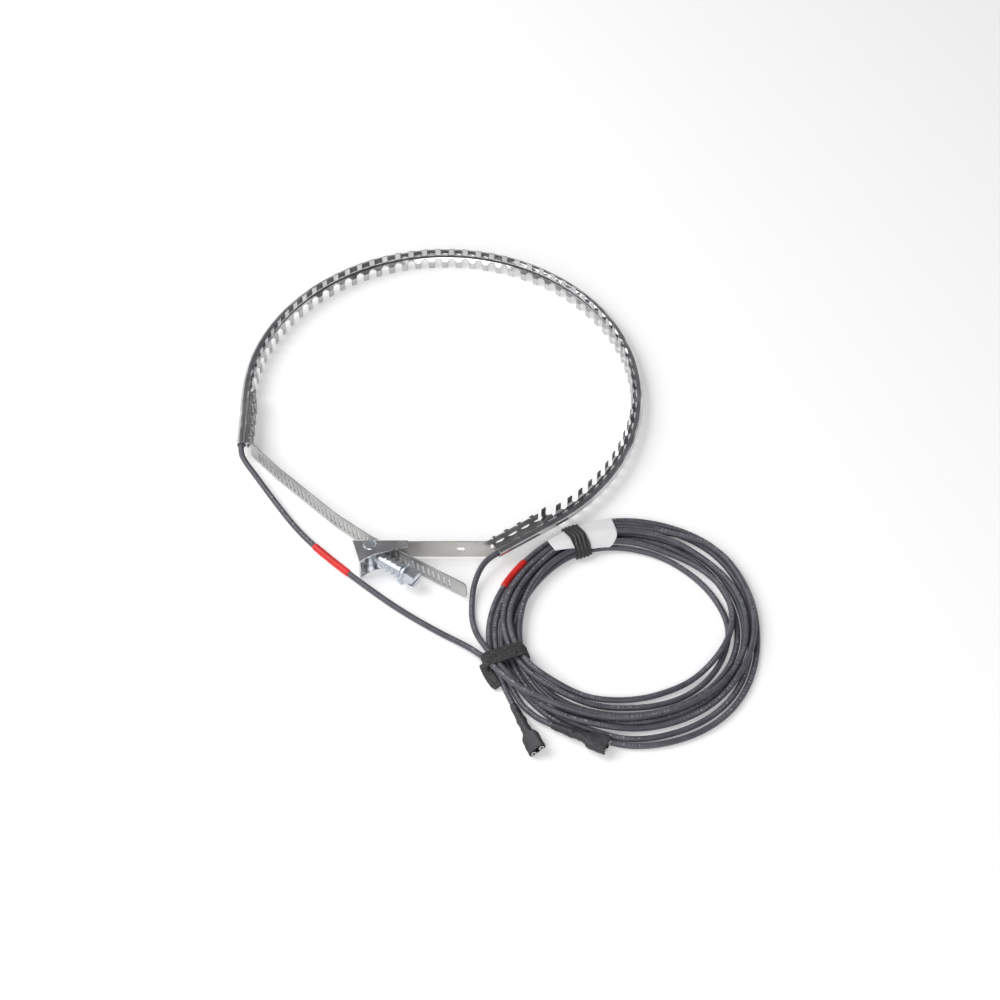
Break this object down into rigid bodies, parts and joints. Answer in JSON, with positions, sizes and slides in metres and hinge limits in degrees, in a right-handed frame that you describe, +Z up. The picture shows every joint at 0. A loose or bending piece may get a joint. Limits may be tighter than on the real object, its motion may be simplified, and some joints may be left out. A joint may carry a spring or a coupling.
{
  "type": "crankcase heater",
  "caption": "Crankcase heater: fingered sheet-metal ring with a heating cord inside, a slotted band closed by a swinging worm screw, and coiled supply leads with crimp terminals.",
  "frame": {"origin": "ring axis on the surface that the heater lies on", "axes": "+Z up along the compressor shell's axis, +Y from the open front of the ring to its back"},
  "size_m": [0.2749, 0.342, 0.015],
  "materials": {
    "stainless": "polished stainless sheet",
    "zinc": "bright zinc plating",
    "tinned": "tinned, bright",
    "silicone": "smooth silicone",
    "seal": "cured sealant",
    "lead": "satin jacket",
    "marker": "shrunk sleeve",
    "hook_loop": "short pile",
    "ribbed": "ribbed, satin",
    "label": "bare white film",
    "shrink": "shrunk sleeve"
  },
  "bodies": {
    "heater": {"spine_channel": "stainless", "heater_cord": "silicone", "end_seal_right": "seal", "end_seal_left": "seal", "plain_strap": "stainless", "slotted_band": "stainless", "clamp_housing": "stainless", "lead_coil": "lead", "left_lead": "lead", "right_lead": "lead", "lead_tail_a": "lead", "lead_tail_b": "lead", "marker_sleeve_a": "marker", "marker_sleeve_b": "marker", "hook_loop_tie": "hook_loop", "ribbed_tie": "ribbed", "wrap_label": "label", "terminal_a": "tinned", "terminal_b": "tinned", "terminal_sleeve_a": "shrink", "terminal_sleeve_b": "shrink"},
    "pivot": {"pivot_barrel": "stainless"},
    "screw": {"worm_screw": "zinc"}
  },
  "joints": [
    {"name": "screw_swing", "type": "hinge", "parent": "heater", "child": "pivot", "pos_m": [-0.0358, -0.11, 0.0075], "axis": [0, 0, 1], "range_deg": [-25, 1.2]},
    {"name": "screw_spin", "type": "hinge", "parent": "pivot", "child": "screw", "pos_m": [-0.0358, -0.11, 0.0075], "axis": [0.809, -0.5878, 0], "continuous": true}
  ]
}
